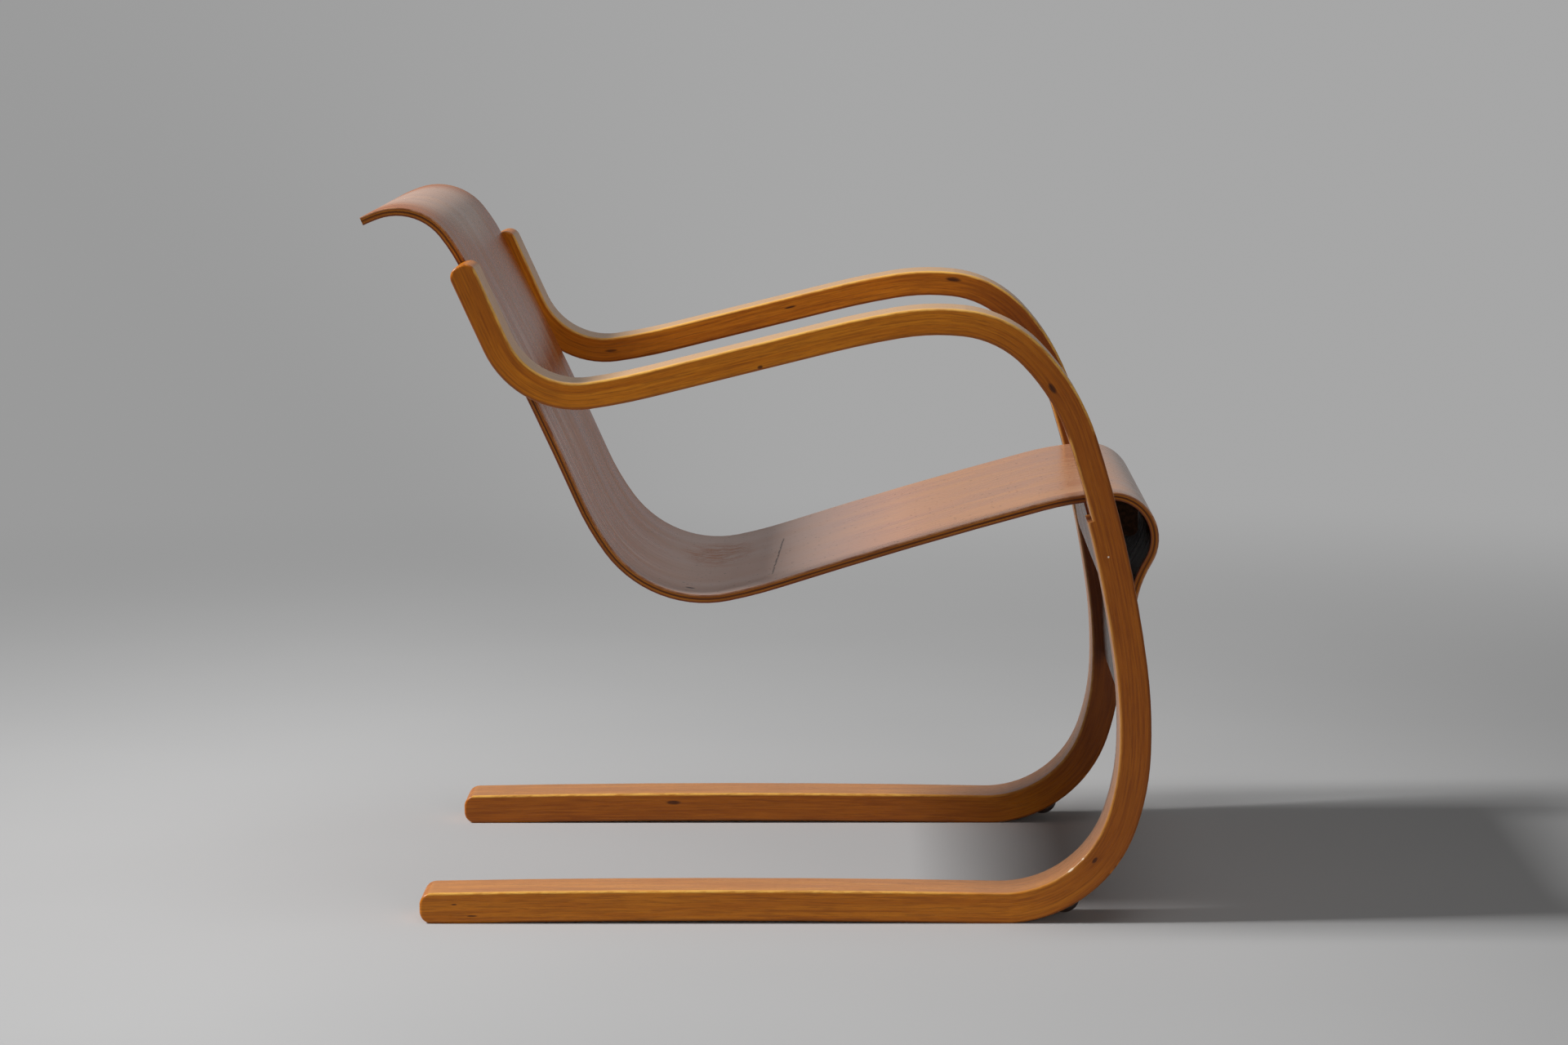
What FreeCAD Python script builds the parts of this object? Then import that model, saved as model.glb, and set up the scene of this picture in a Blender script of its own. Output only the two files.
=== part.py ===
import FreeCAD, Part
import math
import os
import Sketcher

# Cantilever lounge chair. Two side frames, each glued up from bent birch lamellae, run in one
# line from the runner on the floor, up the leg, along the arm and into a short upright.
# A seat of bent plywood hangs between them, rolled over a front rail and held by a back rail.
# Millimetres. X points to the front, Y to the sitter's left and Z up. The origin is on the
# floor, midway between the frames and midway along the depth.

doc = FreeCAD.newDocument("LoungeChair")
dims = doc.addObject("Spreadsheet::Sheet", "dims")

# Driving dimensions.
# A side line is a row of stretches. A bend has a radius and a turn in degrees, a long bow has
# a radius and a chord, and a straight has a length. A negative radius bends to the right of
# the line's own direction.
DRIVING = [
    ("overall_width", 600, "over the outer faces of the side frames"),
    ("frame_width", 65, "side frame, across the chair"),
    ("lamella", 5.1, "one of the full-length birch lamellae"),
    ("leg_lamella", 4.5, "extra lamella inside the leg and the runner"),
    ("leg_lamella_run", 1027, "from the runner's tip to the end of the extra lamella"),
    ("arris_radius", 2.5, "rounding along all long arrises of a frame"),
    ("runner_tip_radius", 12, "rounding at the runner's tip, seen from the side"),
    ("arm_tip_radius", 11, "rounding at the top of the upright, seen from the side"),
    ("frame_start", -325.7, "X of the runner's tip"),
    ("frame_start_height", -0.6, "below the floor by what is planed off the underside"),
    ("frame_heading", 1.13, "direction of the underside at the runner's tip"),
    ("runner_radius", -14000, "slight bow that lifts the middle of the runner"),
    ("runner_chord", 552, ""),
    ("toe_radius", 135, "bend from the runner to the leg"),
    ("toe_turn", 71.9, ""),
    ("ankle_radius", 250, ""),
    ("ankle_turn", 17.0, ""),
    ("shin_radius", 500, ""),
    ("shin_turn", 9.73, ""),
    ("leg_radius", 1240, ""),
    ("leg_chord", 223, ""),
    ("thigh_radius", 220, ""),
    ("thigh_turn", 26.07, ""),
    ("shoulder_radius", 118, "bend from the leg to the arm"),
    ("shoulder_turn", 39.9, ""),
    ("crown_radius", 240, "highest part of the arm"),
    ("crown_turn", 15.6, ""),
    ("easing_radius", 880, ""),
    ("easing_turn", 4.4, ""),
    ("arm_length", 175, "straight part of the arm"),
    ("sway_radius", -560, ""),
    ("sway_turn", 5.8, ""),
    ("elbow_radius", -70, "bend from the arm to the upright"),
    ("elbow_turn", 73.5, ""),
    ("upright_length", 82.2, "straight part of the upright"),
    ("seat_width", 470, "the seat fills the space between the frames"),
    ("seat_ply", 1.6, "one ply of the seat"),
    ("ply_arris_radius", 0.7, "rounding along the edges of the two outer plies"),
    ("seat_start", -380.7, "X of the head end"),
    ("seat_start_height", 669.6, "height of the head end"),
    ("seat_heading", 25.1, "direction of the sheet at the head end"),
    ("lip_radius", -180, "head end, drooping to the back"),
    ("lip_turn", 5.0, ""),
    ("head_radius", -60, "curl over the head"),
    ("head_turn", 71.6, ""),
    ("neck_radius", -180, ""),
    ("neck_turn", 10.8, ""),
    ("back_radius", -3600, "backrest"),
    ("back_chord", 254, ""),
    ("lumbar_radius", 250, ""),
    ("lumbar_turn", 12.4, ""),
    ("hollow_radius", 110, "bend from the backrest to the seat"),
    ("hollow_turn", 65.3, ""),
    ("rise_radius", 480, ""),
    ("rise_turn", 6.2, ""),
    ("pan_radius", -6000, "seat"),
    ("pan_chord", 261, ""),
    ("front_radius", -300, ""),
    ("front_turn", 12.7, ""),
    ("roll_radius", -45, "roll over the front rail"),
    ("roll_turn", 123.8, ""),
    ("throat_radius", 110, "where the sheet goes back in between the legs"),
    ("throat_turn", 30.0, ""),
    ("tongue_radius", 900, "end of the sheet, lying along the legs"),
    ("tongue_chord", 101, ""),
    ("brace_thickness", 8, "bent sheet behind the front rail"),
    ("brace_start", 311.8, "X of the brace's front face at its upper end"),
    ("brace_start_height", 412, "inside the seat, which the brace is cut to"),
    ("brace_heading", -72, "direction of the brace going down"),
    ("brace_upper_radius", -535, ""),
    ("brace_upper_turn", 9, ""),
    ("brace_bend_radius", 60, ""),
    ("brace_bend_turn", 19, ""),
    ("brace_lower_length", 60, "runs into the tongue, which the brace is cut to"),
    ("rail_front", 360.3, "X of the front rail's front face"),
    ("rail_bottom", 364, "height of the front rail's underside"),
    ("rail_blank_depth", 52, "front rail before its back is planed to the brace"),
    ("rail_blank_height", 50, "front rail before its top is planed to the seat"),
    ("rail_corner_radius", 7, "rounding along the rail's lower front edge"),
    ("rail_dowel_radius", 4, "two dowels in each end of the front rail"),
    ("rail_dowel_length", 44, "half in the rail and half in the frame"),
    ("rail_dowel_x", 332.8, "X of those dowels"),
    ("rail_dowel_height", 371.5, "height of the lower dowel"),
    ("rail_dowel_spacing", 14, "from the lower dowel up to the other"),
    ("back_rail_thickness", 8, "thin rail behind the backrest, between the uprights"),
    ("back_rail_height", 60, "along the backrest"),
    ("back_rail_run", 188, "from the head end to the middle of the back rail"),
    ("back_dowel_radius", 2.5, "two dowels in each end of the back rail"),
    ("back_dowel_length", 50, "half in the rail and half in the upright"),
    ("back_dowel_spacing", 30, ""),
    ("screw_radius", 1.75, "wood screws that hold the seat to both rails"),
    ("screw_head_radius", 3.6, ""),
    ("screw_head_depth", 2.4, "countersunk"),
    ("screw_outer_y", 190, "from the middle to the outer screws"),
    ("screw_inner_y", 65, "from the middle to the inner screws"),
    ("back_screw_length", 14, ""),
    ("rail_screw_length", 32, ""),
    ("rail_screw_x", 345.3, "X of the screws in the front rail"),
    ("rail_screw_sink", 5, "depth of their heads in the rail's underside"),
    ("glide_radius", 11, "rubber glide under the bend of each runner"),
    ("glide_height", 9.5, ""),
    ("glide_rim", 5, "height of the glide's straight edge, below its domed end"),
    ("glide_run", 620, "from the runner's tip to the glide"),
    ("nail_radius", 1.2, "nail through each glide"),
    ("nail_head_radius", 3.5, ""),
    ("nail_head_thickness", 0.8, ""),
    ("nail_length", 18, ""),
]
for row, (alias, value, note) in enumerate(DRIVING, start=1):
    dims.set(f"A{row}", alias)
    dims.set(f"B{row}", str(value))
    dims.setAlias(f"B{row}", alias)
    dims.set(f"C{row}", note)
doc.recompute()

# The stretches of each line in order, with how each one is measured.
# The frame's line is its outer face, from the runner's tip round to the upright.
# The seat's line is the face that the sitter leans on, from the head end to the tongue.
# The brace's line is its front face, going down.
LINES = {
    "frame": [
        ("runner", "chord"), ("toe", "turn"), ("ankle", "turn"), ("shin", "turn"),
        ("leg", "chord"), ("thigh", "turn"), ("shoulder", "turn"), ("crown", "turn"),
        ("easing", "turn"), ("arm", "length"), ("sway", "turn"), ("elbow", "turn"),
        ("upright", "length"),
    ],
    "seat": [
        ("lip", "turn"), ("head", "turn"), ("neck", "turn"), ("back", "chord"),
        ("lumbar", "turn"), ("hollow", "turn"), ("rise", "turn"), ("pan", "chord"),
        ("front", "turn"), ("roll", "turn"), ("throat", "turn"), ("tongue", "chord"),
    ],
    "brace": [("brace_upper", "turn"), ("brace_bend", "turn"), ("brace_lower", "length")],
}


def size(alias):
    """A driving dimension, read back from the sheet."""
    return float(dims.get(alias))


def bind(feature, **expressions):
    """Bind properties of a feature to expressions on the sheet."""
    for prop, expression in expressions.items():
        feature.setExpression(prop, expression)
    return feature


def turn_and_length(name, measure):
    """Signed turn of a stretch in degrees, left positive, and its length along the line."""
    if measure == "length":
        return 0.0, size(f"{name}_length")
    radius = size(f"{name}_radius")
    if measure == "turn":
        turn = size(f"{name}_turn")
    else:
        turn = math.degrees(2 * math.asin(size(f"{name}_chord") / 2 / abs(radius)))
    return math.copysign(turn, radius), abs(radius) * math.radians(turn)


def ahead_of(heading):
    """Unit vector along a heading in degrees, in the side view's X and height."""
    return FreeCAD.Vector(math.cos(math.radians(heading)), math.sin(math.radians(heading)), 0)


def left_of(heading):
    """Unit vector to the left of a heading."""
    return ahead_of(heading + 90)


def end_of(name, measure, point, heading, share=1.0):
    """Point and heading after a share of one stretch that starts at a point and heading."""
    turn, length = turn_and_length(name, measure)
    if measure == "length":
        return point + ahead_of(heading) * (length * share), heading
    radius = size(f"{name}_radius")
    centre = point + left_of(heading) * radius
    heading += turn * share
    return centre - left_of(heading) * radius, heading


def start_of(line):
    """Point and heading at the start of a line."""
    point = FreeCAD.Vector(size(f"{line}_start"), size(f"{line}_start_height"), 0)
    return point, size(f"{line}_heading")


def along(line, run=math.inf):
    """Point and heading this far along a line from its start, at most at its end."""
    point, heading = start_of(line)
    for name, measure in LINES[line]:
        length = turn_and_length(name, measure)[1]
        point, heading = end_of(name, measure, point, heading, min(1.0, run / length))
        run -= length
        if run <= 0:
            break
    return point, heading


def side_sketch(line, plane_y):
    """Sketch of a line in the side view, on the plane where Y is an expression."""
    sketch = doc.addObject("Sketcher::SketchObject", f"{line}_line")
    sketch.Placement.Rotation = FreeCAD.Rotation(FreeCAD.Vector(1, 0, 0), 90)
    bind(sketch, **{"Placement.Base.y": plane_y})
    point, heading = start_of(line)
    # A short guide line before the start holds the start's place and direction.
    guide = ahead_of(heading) * 20
    sketch.addGeometry(Part.LineSegment(point - guide, point), True)
    held = [
        ("start_x", Sketcher.Constraint("DistanceX", -1, 1, 0, 2, point.x), f"dims.{line}_start"),
        ("start_height", Sketcher.Constraint("DistanceY", -1, 1, 0, 2, point.y),
         f"dims.{line}_start_height"),
        ("heading", Sketcher.Constraint("Angle", 0, math.radians(heading)),
         f"dims.{line}_heading * 1 deg"),
        ("guide_length", Sketcher.Constraint("Distance", 0, guide.Length), None),
    ]
    last_end = (0, 2)
    for name, measure in LINES[line]:
        turn, length = turn_and_length(name, measure)
        next_point, next_heading = end_of(name, measure, point, heading)
        if measure == "length":
            index = sketch.addGeometry(Part.LineSegment(point, next_point), False)
            begin, end = (index, 1), (index, 2)
            straight = Sketcher.Constraint("Distance", index, length)
            held.append((f"{name}_length", straight, f"dims.{name}_length"))
        else:
            radius = size(f"{name}_radius")
            centre = point + left_of(heading) * radius
            circle = Part.Circle(centre, FreeCAD.Vector(0, 0, 1), abs(radius))
            first = math.radians(heading - math.copysign(90, turn))
            arc = Part.ArcOfCircle(circle, *sorted((first, first + math.radians(turn))))
            index = sketch.addGeometry(arc, False)
            begin, end = ((index, 1), (index, 2)) if turn > 0 else ((index, 2), (index, 1))
            bent = Sketcher.Constraint("Radius", index, abs(radius))
            held.append((f"{name}_radius", bent, f"abs(dims.{name}_radius)"))
            if measure == "turn":
                reach = Sketcher.Constraint("Angle", index, math.radians(abs(turn)))
                held.append((f"{name}_turn", reach, f"dims.{name}_turn * 1 deg"))
            else:
                reach = Sketcher.Constraint("Distance", *begin, *end, size(f"{name}_chord"))
                held.append((f"{name}_chord", reach, f"dims.{name}_chord"))
        sketch.addConstraint(Sketcher.Constraint("Tangent", *last_end, *begin))
        last_end = end
        point, heading = next_point, next_heading
    hold(sketch, held)
    return sketch


def hold(sketch, held):
    """Add named constraints to a sketch, each bound to an expression where it has one."""
    for name, constraint, expression in held:
        sketch.renameConstraint(sketch.addConstraint(constraint), name)
        if expression:
            sketch.setExpression(f"Constraints.{name}", expression)


def parallel(label, line, distance):
    """Line parallel to another, at a distance to its left given as an expression."""
    offset = doc.addObject("Part::Offset2D", label)
    offset.Source = line
    offset.Mode = "Skin"
    return bind(offset, Value=f"-({distance})")


def strip(label, line, inner, thickness, width):
    """Bent strip that starts a distance left of a line and goes on leftwards by a thickness."""
    edge = parallel(f"{label}_edge", line, inner) if inner else line
    side = parallel(f"{label}_side", edge, thickness)
    side.Fill = True
    solid = doc.addObject("Part::Extrusion", f"{label}_strip")
    solid.Base = side
    solid.DirMode = "Custom"
    solid.Dir = FreeCAD.Vector(0, 1, 0)
    solid.Solid = True
    return bind(solid, LengthFwd=width)


def combine(kind, label, base, tool):
    """Cut, Common or Fuse of two features."""
    result = doc.addObject(f"Part::{kind}", label)
    result.Base = base
    result.Tool = tool
    return result


def group(label, members):
    """Separate solids kept together as one node."""
    compound = doc.addObject("Part::Compound", label)
    compound.Links = members
    return compound


def rounded(label, base, radius, wanted):
    """Rounding of the edges of a feature that the test wanted picks out."""
    doc.recompute()
    numbers = [n for n, edge in enumerate(base.Shape.Edges, start=1) if wanted(edge)]
    fillet = doc.addObject("Part::Fillet", label)
    fillet.Base = base
    fillet.Edges = [(n, radius, radius) for n in numbers]
    return fillet


def box_along(label, point, heading, back, ahead, right, left, width):
    """Box set along a heading at a point of the side view, centred on Y."""
    box = doc.addObject("Part::Box", label)
    box.Length = back + ahead
    box.Width = width
    box.Height = right + left
    turned = FreeCAD.Rotation(FreeCAD.Vector(0, 1, 0), -heading)
    corner = turned.multVec(FreeCAD.Vector(-back, -width / 2, -right))
    box.Placement = FreeCAD.Placement(FreeCAD.Vector(point.x, 0, point.y) + corner, turned)
    return box


def rod(label, radius, length, start, direction):
    """Round rod of bound radius and length, from a start in a direction."""
    cylinder = doc.addObject("Part::Cylinder", label)
    upright = FreeCAD.Vector(0, 0, 1)
    cylinder.Placement = FreeCAD.Placement(start, FreeCAD.Rotation(upright, direction))
    return bind(cylinder, Radius=radius, Height=length)


def in_space(point, y):
    """Point of the side view at a place across the chair."""
    return FreeCAD.Vector(point.x, y, point.y)


def near_point(point, reach):
    """Test for the straight edges across the right frame that pass close to a point."""
    def wanted(edge):
        ends = [vertex.Point for vertex in edge.Vertexes]
        if len(ends) != 2 or abs((ends[1] - ends[0]).y) < size("frame_width") - 0.01:
            return False
        return all(math.hypot(end.x - point.x, end.z - point.y) < reach for end in ends)
    return wanted


def in_planes(*planes):
    """Test for the edges that lie in one of some planes of constant Y."""
    def wanted(edge):
        box = edge.BoundBox
        return box.YLength < 0.01 and any(abs(box.YMin - y) < 0.01 for y in planes)
    return wanted


frame_line = side_sketch("frame", "-dims.overall_width / 2")
seat_line = side_sketch("seat", "-dims.seat_width / 2")
brace_line = side_sketch("brace", "-dims.seat_width / 2")
HALF_WIDTH = size("overall_width") / 2
SEAT_SIDE = size("seat_width") / 2
WELL_CLEAR = 900
doc.recompute()

# Fastenings of the two rails, which the frames, rails and plies are bored for.
PLY_NAMES = ["seat_face_ply", "seat_upper_ply", "seat_centre_ply", "seat_lower_ply",
             "seat_under_ply"]
SEAT_THICKNESS = f"{len(PLY_NAMES)} * dims.seat_ply"
ACROSS = FreeCAD.Vector(0, 1, 0)
back_point, back_heading = along("seat", size("back_rail_run"))
through_sheet = left_of(back_heading)
sheet_back = size("seat_ply") * len(PLY_NAMES)
back_rail_middle = back_point - through_sheet * (sheet_back + size("back_rail_thickness") / 2)
back_rail_rear = back_point - through_sheet * (sheet_back + size("back_rail_thickness"))

rail_dowels = []
back_dowels = []
for side, sign in (("right", -1), ("left", 1)):
    for number in range(2):
        low = size("rail_dowel_height") + number * size("rail_dowel_spacing")
        middle_y = sign * SEAT_SIDE - size("rail_dowel_length") / 2
        start = FreeCAD.Vector(size("rail_dowel_x"), middle_y, low)
        rail_dowels.append(rod(f"{side}_rail_dowel_{number + 1}", "dims.rail_dowel_radius",
                               "dims.rail_dowel_length", start, ACROSS))
        shift = (number - 0.5) * size("back_dowel_spacing")
        place = back_rail_middle + ahead_of(back_heading) * shift
        start = in_space(place, sign * SEAT_SIDE - size("back_dowel_length") / 2)
        back_dowels.append(rod(f"{side}_back_dowel_{number + 1}", "dims.back_dowel_radius",
                               "dims.back_dowel_length", start, ACROSS))
front_rail_dowels = group("front_rail_dowels", rail_dowels)
back_rail_dowels = group("back_rail_dowels", back_dowels)


def screw(label, start, direction, length):
    """Countersunk wood screw with the top of its head at a start, going in a direction."""
    shank = rod(f"{label}_shank", "dims.screw_radius", length, start, direction)
    head = doc.addObject("Part::Cone", f"{label}_head")
    head.Placement = shank.Placement
    bind(head, Radius1="dims.screw_head_radius", Radius2="dims.screw_radius",
         Height="dims.screw_head_depth")
    return combine("Fuse", label, head, shank)


back_screws = []
rail_screws = []
sinks = []
SCREW_PLACES = [-size("screw_outer_y"), -size("screw_inner_y"),
                size("screw_inner_y"), size("screw_outer_y")]
for number, y in enumerate(SCREW_PLACES, start=1):
    forward = FreeCAD.Vector(through_sheet.x, 0, through_sheet.y)
    back_screws.append(screw(f"back_screw_{number}", in_space(back_rail_rear, y), forward,
                             "dims.back_screw_length"))
    mouth = FreeCAD.Vector(size("rail_screw_x"), y, size("rail_bottom"))
    up = FreeCAD.Vector(0, 0, 1)
    rail_screws.append(screw(f"rail_screw_{number}", mouth + up * size("rail_screw_sink"), up,
                             "dims.rail_screw_length"))
    sinks.append(rod(f"screw_sink_{number}", "dims.screw_head_radius", "dims.rail_screw_sink",
                     mouth, up))
back_rail_screws = group("back_rail_screws", back_screws)
front_rail_screws = group("front_rail_screws", rail_screws)
screw_sinks = group("screw_sinks", sinks)

# Glides, a domed rubber button on a nail under the bend of each runner. They are made at the
# origin, dome upwards, and moved to the bend with the dome facing away from it.
glide_point, glide_heading = along("frame", size("glide_run"))
outwards = left_of(glide_heading) * -1
glide_y = -HALF_WIDTH + size("frame_width") / 2
glide_place = FreeCAD.Placement(
    in_space(glide_point, glide_y),
    FreeCAD.Rotation(FreeCAD.Vector(0, 0, 1), FreeCAD.Vector(outwards.x, 0, outwards.y)))
GLIDE_ROOT = -1.0
glide_body = doc.addObject("PartDesign::Body", "glide_body")
glide_plane = next(f for f in glide_body.Origin.OriginFeatures if f.Role == "XZ_Plane")
glide_profile = glide_body.newObject("Sketcher::SketchObject", "glide_profile")
glide_profile.AttachmentSupport = [(glide_plane, "")]
glide_profile.MapMode = "FlatFace"
root = FreeCAD.Vector(0, GLIDE_ROOT, 0)
root_rim = FreeCAD.Vector(size("glide_radius"), GLIDE_ROOT, 0)
rim = FreeCAD.Vector(size("glide_radius"), size("glide_rim"), 0)
summit = FreeCAD.Vector(0, size("glide_height"), 0)
rise = summit.y - rim.y
dome_radius = (rim.x ** 2 + rise ** 2) / (2 * rise)
dome_centre = FreeCAD.Vector(0, summit.y - dome_radius, 0)
dome_circle = Part.Circle(dome_centre, FreeCAD.Vector(0, 0, 1), dome_radius)
rim_angle = math.asin((rim.y - dome_centre.y) / dome_radius)
glide_profile.addGeometry(Part.LineSegment(root, root_rim), False)
glide_profile.addGeometry(Part.LineSegment(root_rim, rim), False)
glide_profile.addGeometry(Part.ArcOfCircle(dome_circle, rim_angle, math.pi / 2), False)
glide_profile.addGeometry(Part.LineSegment(summit, root), False)
for joined in ((0, 2, 1, 1), (1, 2, 2, 1), (2, 2, 3, 1), (3, 2, 0, 1)):
    glide_profile.addConstraint(Sketcher.Constraint("Coincident", *joined))
for number, direction in ((0, "Horizontal"), (1, "Vertical"), (3, "Vertical")):
    glide_profile.addConstraint(Sketcher.Constraint(direction, number))
glide_profile.addConstraint(Sketcher.Constraint("PointOnObject", 2, 3, -2))
glide_profile.addConstraint(Sketcher.Constraint("PointOnObject", 0, 1, -2))
hold(glide_profile, [
    ("root", Sketcher.Constraint("DistanceY", 0, 1, -1, 1, -GLIDE_ROOT), None),
    ("radius", Sketcher.Constraint("Distance", 0, size("glide_radius")), "dims.glide_radius"),
    ("rim", Sketcher.Constraint("DistanceY", -1, 1, 1, 2, rim.y), "dims.glide_rim"),
    ("height", Sketcher.Constraint("DistanceY", -1, 1, 2, 2, summit.y), "dims.glide_height"),
])
glide_turned = glide_body.newObject("PartDesign::Revolution", "glide_turned")
glide_turned.Profile = glide_profile
glide_turned.ReferenceAxis = (glide_profile, ["V_Axis"])
glide_turned.Angle = 360
glide_body.Placement = glide_place

shank_length = "dims.nail_length - dims.nail_head_thickness"
head_top = FreeCAD.Vector(0, 0, size("glide_rim") + size("nail_head_thickness"))
head_foot = FreeCAD.Vector(0, 0, size("glide_rim"))
outward_axis = glide_place.Rotation.multVec(FreeCAD.Vector(0, 0, 1))
nail_head = rod("nail_head", "dims.nail_head_radius", "dims.nail_head_thickness",
                glide_place.multVec(head_top), outward_axis * -1)
nail_shank = rod("nail_shank", "dims.nail_radius", shank_length,
                 glide_place.multVec(head_foot), outward_axis * -1)
right_nail = combine("Fuse", "right_nail", nail_head, nail_shank)

# The side frame's blank is the glued-up pack of lamellae after shaping: the tips and arrises
# are rounded, the underside is planed flat at both ends of its bow, and the holes are bored.
FULL_LAMELLAE = 5
ARM_THICKNESS = f"{FULL_LAMELLAE} * dims.lamella"
TIP_REACH = 60
FLANKS = (-HALF_WIDTH, -HALF_WIDTH + size("frame_width"))
step_point, step_heading = along("frame", size("leg_lamella_run"))
below_step = box_along("below_step", step_point, step_heading, 2 * WELL_CLEAR, 0,
                       WELL_CLEAR, WELL_CLEAR, 2 * WELL_CLEAR)
above_floor = box_along("above_floor", FreeCAD.Vector(), 0, WELL_CLEAR, WELL_CLEAR,
                        0, WELL_CLEAR, 2 * WELL_CLEAR)
arm_pack = strip("arm_pack", frame_line, None, ARM_THICKNESS, "dims.frame_width")
arm_tip = rounded("arm_tip_rounded", arm_pack, size("arm_tip_radius"),
                  near_point(along("frame")[0], TIP_REACH))
arm_shaped = rounded("arm_arrises_rounded", arm_tip, size("arris_radius"), in_planes(*FLANKS))
leg_pack = strip("leg_pack", frame_line, None, f"{ARM_THICKNESS} + dims.leg_lamella",
                 "dims.frame_width")
leg_tip = rounded("runner_tip_rounded", leg_pack, size("runner_tip_radius"),
                  near_point(start_of("frame")[0], TIP_REACH))
leg_shaped = rounded("leg_arrises_rounded", leg_tip, size("arris_radius"), in_planes(*FLANKS))
arm_part = combine("Cut", "arm_part", arm_shaped, below_step)
leg_part = combine("Common", "leg_part", leg_shaped, below_step)
whole_blank = combine("Fuse", "whole_blank", arm_part, leg_part)
faced_blank = combine("Common", "faced_blank", whole_blank, above_floor)
bored_blank = combine("Cut", "bored_blank", faced_blank,
                      group("frame_bores", [front_rail_dowels, back_rail_dowels, right_nail]))

nodes = {}
for number in range(FULL_LAMELLAE):
    inner = f"{number} * dims.lamella" if number else None
    blank = strip(f"lamella_{number + 1}", frame_line, inner, "dims.lamella",
                  "dims.frame_width")
    nodes[f"right_lamella_{number + 1}"] = (blank, bored_blank)
blank = strip("leg_lamella", frame_line, ARM_THICKNESS, "dims.leg_lamella", "dims.frame_width")
nodes["right_leg_lamella"] = (combine("Common", "leg_lamella_cut", blank, below_step),
                              bored_blank)
nodes = {name: combine("Common", name, *pair) for name, pair in nodes.items()}
nodes["right_glide"] = combine(
    "Cut", "right_glide", glide_body,
    group("glide_bores", [nodes["right_lamella_1"], right_nail]))


def mirrored(label, source):
    """Copy of a feature on the other side of the chair."""
    copy = doc.addObject("Part::Mirroring", label)
    copy.Source = source
    copy.Normal = FreeCAD.Vector(0, 1, 0)
    return copy


for name in list(nodes):
    nodes[name.replace("right", "left")] = mirrored(name.replace("right", "left"), nodes[name])
nodes["glide_nails"] = group("glide_nails", [right_nail, mirrored("left_nail", right_nail)])

# The brace, a short bent sheet behind the front rail, from under the seat down to the tongue.
# The seat space is what the seat and everything above it takes up, for fitting to.
SPACE_DEPTH = 30
seat_space = strip("seat_space", seat_line, f"-({SEAT_THICKNESS})",
                   f"{SEAT_THICKNESS} + {SPACE_DEPTH}", "dims.seat_width")
brace_blank = strip("brace_blank", brace_line, None, "-dims.brace_thickness", "dims.seat_width")
nodes["rear_brace"] = combine("Cut", "rear_brace", brace_blank, seat_space)

# The front rail, a solid bar inside the roll of the seat, from one leg to the other.
brace_space = strip("brace_space", brace_line, None, f"-{SPACE_DEPTH}", "dims.seat_width")
rail_body = doc.addObject("PartDesign::Body", "rail_body")
rail_plane = next(f for f in rail_body.Origin.OriginFeatures if f.Role == "XZ_Plane")
rail_profile = rail_body.newObject("Sketcher::SketchObject", "rail_profile")
rail_profile.AttachmentSupport = [(rail_plane, "")]
rail_profile.MapMode = "FlatFace"
rail_corners = [
    FreeCAD.Vector(size("rail_front") - back * size("rail_blank_depth"),
                   size("rail_bottom") + top * size("rail_blank_height"), 0)
    for back, top in ((0, 0), (1, 0), (1, 1), (0, 1))
]
for number in range(4):
    to_next = Part.LineSegment(rail_corners[number], rail_corners[(number + 1) % 4])
    rail_profile.addGeometry(to_next, False)
for number, direction in enumerate(("Horizontal", "Vertical") * 2):
    joined = (number, 2, (number + 1) % 4, 1)
    rail_profile.addConstraint(Sketcher.Constraint("Coincident", *joined))
    rail_profile.addConstraint(Sketcher.Constraint(direction, number))
hold(rail_profile, [
    ("front", Sketcher.Constraint("DistanceX", -1, 1, 0, 1, size("rail_front")),
     "dims.rail_front"),
    ("bottom", Sketcher.Constraint("DistanceY", -1, 1, 0, 1, size("rail_bottom")),
     "dims.rail_bottom"),
    ("depth", Sketcher.Constraint("Distance", 0, size("rail_blank_depth")),
     "dims.rail_blank_depth"),
    ("blank_height", Sketcher.Constraint("Distance", 1, size("rail_blank_height")),
     "dims.rail_blank_height"),
])
rail_pad = rail_body.newObject("PartDesign::Pad", "rail_pad")
rail_pad.Profile = rail_profile
rail_pad.Midplane = True
bind(rail_pad, Length="dims.seat_width")
doc.recompute()
lower_front = [
    f"Edge{n}" for n, edge in enumerate(rail_pad.Shape.Edges, start=1)
    if all(abs(vertex.X - size("rail_front")) + abs(vertex.Z - size("rail_bottom")) < 0.01
           for vertex in edge.Vertexes)
]
rail_rounding = rail_body.newObject("PartDesign::Fillet", "rail_rounding")
rail_rounding.Base = (rail_pad, lower_front)
bind(rail_rounding, Radius="dims.rail_corner_radius")
rail_body.Tip = rail_rounding
rail_cutters = group("rail_cutters", [seat_space, brace_space, front_rail_dowels,
                                      front_rail_screws, screw_sinks])
nodes["front_rail"] = combine("Cut", "front_rail", rail_body, rail_cutters)

# The back rail, thin enough to lie between the backrest and the rear faces of the uprights.
back_rail_blank = strip("back_rail_blank", seat_line, f"-({SEAT_THICKNESS})",
                        "-dims.back_rail_thickness", "dims.seat_width")
half_height = size("back_rail_height") / 2
back_rail_window = box_along("back_rail_window", back_point, back_heading, half_height,
                             half_height, 2 * half_height, 0, 2 * WELL_CLEAR)
back_rail_cut = combine("Common", "back_rail_cut", back_rail_blank, back_rail_window)
nodes["back_rail"] = combine("Cut", "back_rail", back_rail_cut,
                             group("back_rail_bores", [back_rail_dowels, back_rail_screws]))

# The seat, one sheet of five plies from the head end to the tongue between the legs.
PLY_EDGES = in_planes(-SEAT_SIDE, SEAT_SIDE)


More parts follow.
